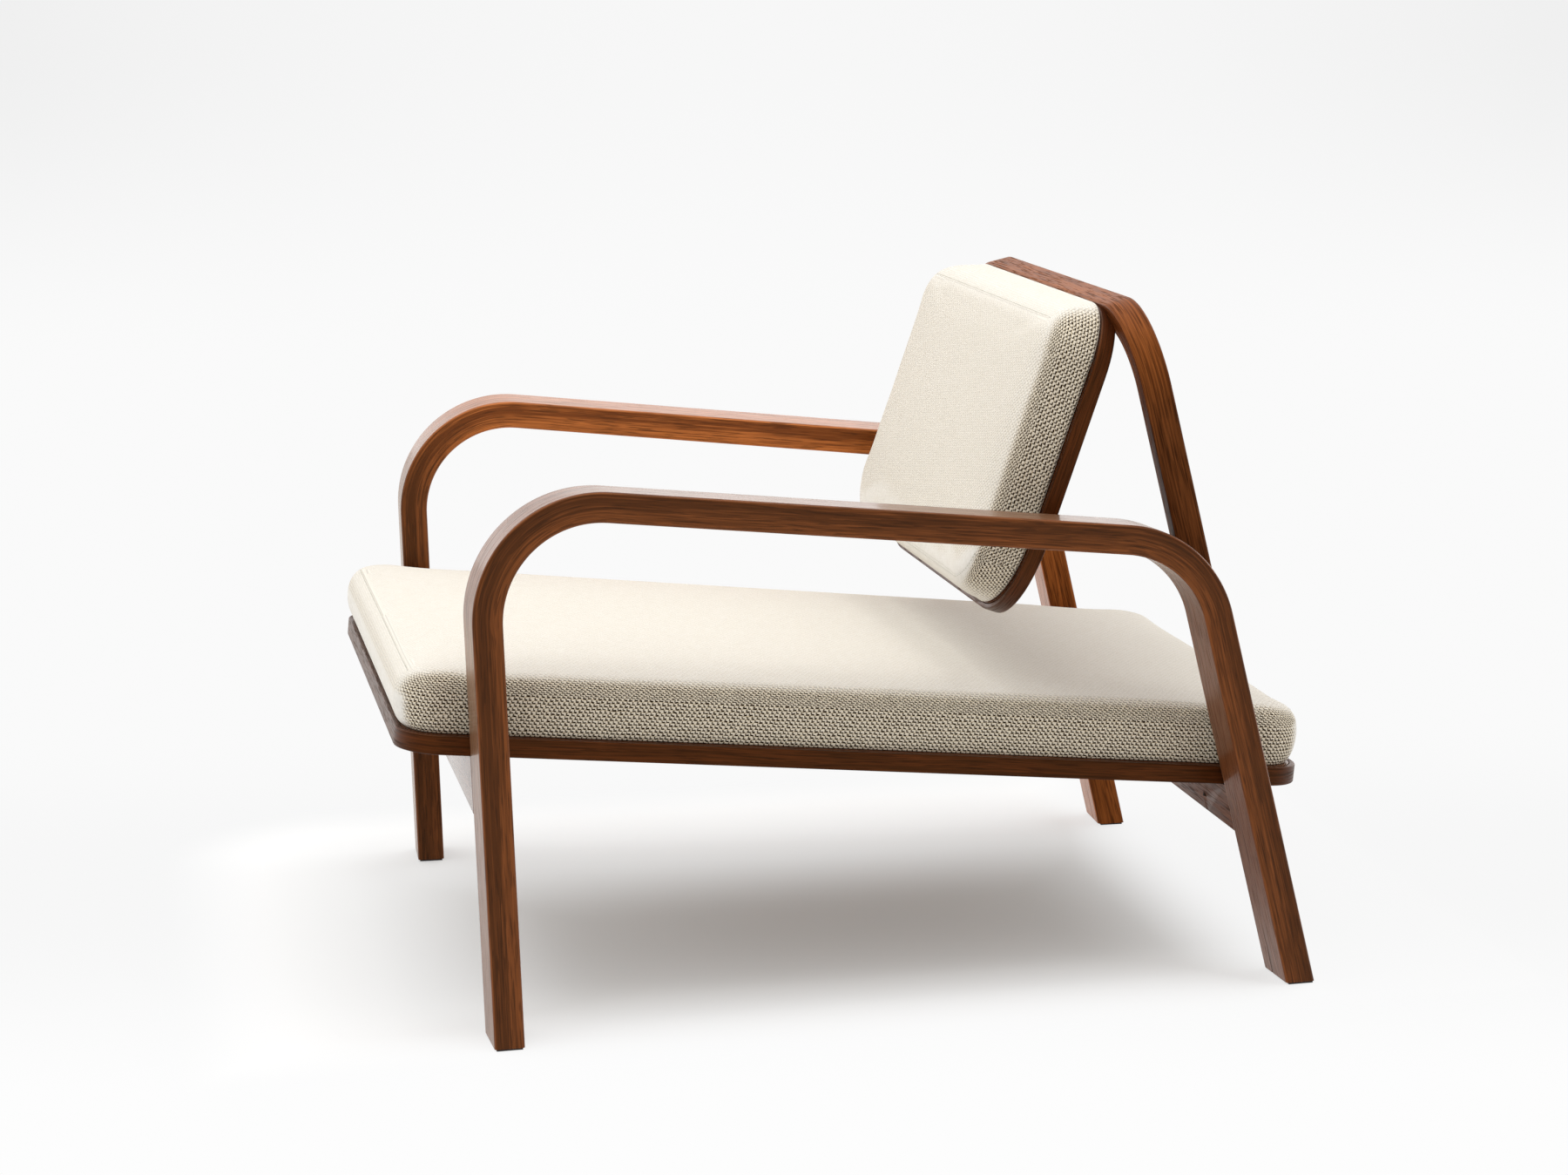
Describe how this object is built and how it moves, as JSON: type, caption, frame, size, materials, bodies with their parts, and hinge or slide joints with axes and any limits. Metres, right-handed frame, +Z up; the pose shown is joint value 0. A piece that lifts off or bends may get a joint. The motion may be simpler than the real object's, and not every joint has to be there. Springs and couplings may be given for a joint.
{
  "type": "lounge chair",
  "caption": "Low lounge chair with bent wood side loops joined by a bent back hoop, and an upholstered seat and back pad with a woven cover.",
  "frame": {"origin": "middle of the footprint on the floor", "axes": "+Z up, the chair faces -Y, +X is the sitter's left"},
  "size_m": [0.7494, 0.8875, 0.6491],
  "materials": {
    "walnut": "satin lacquer, grain along each member",
    "plywood": "sanded",
    "beech": "turned, raw",
    "cream_weave": "coarse basket weave",
    "foam": "open-cell foam with a wadding wrap",
    "steel": "zinc plated",
    "glide_rubber": "matte"
  },
  "bodies": {
    "root": {"left_side_loop": "walnut", "right_side_loop": "walnut", "back_hoop": "walnut", "front_cross_rail": "walnut", "rear_cross_rail": "walnut", "seat_board": "walnut", "seat_board_lipping": "walnut", "seat_pad_base": "plywood", "seat_foam": "foam", "seat_cover": "cream_weave", "back_board": "walnut", "back_board_lipping": "walnut", "back_pad_base": "plywood", "back_foam": "foam", "back_cover": "cream_weave", "rail_dowels": "beech", "hoop_dowels": "beech", "seat_board_screws": "steel", "seat_pad_screws": "steel", "seat_pad_nuts": "steel", "back_pad_screws": "steel", "back_pad_nuts": "steel", "back_top_screws": "steel", "back_top_plugs": "walnut", "back_side_pins": "steel", "foot_glides": "glide_rubber"}
  },
  "joints": []
}
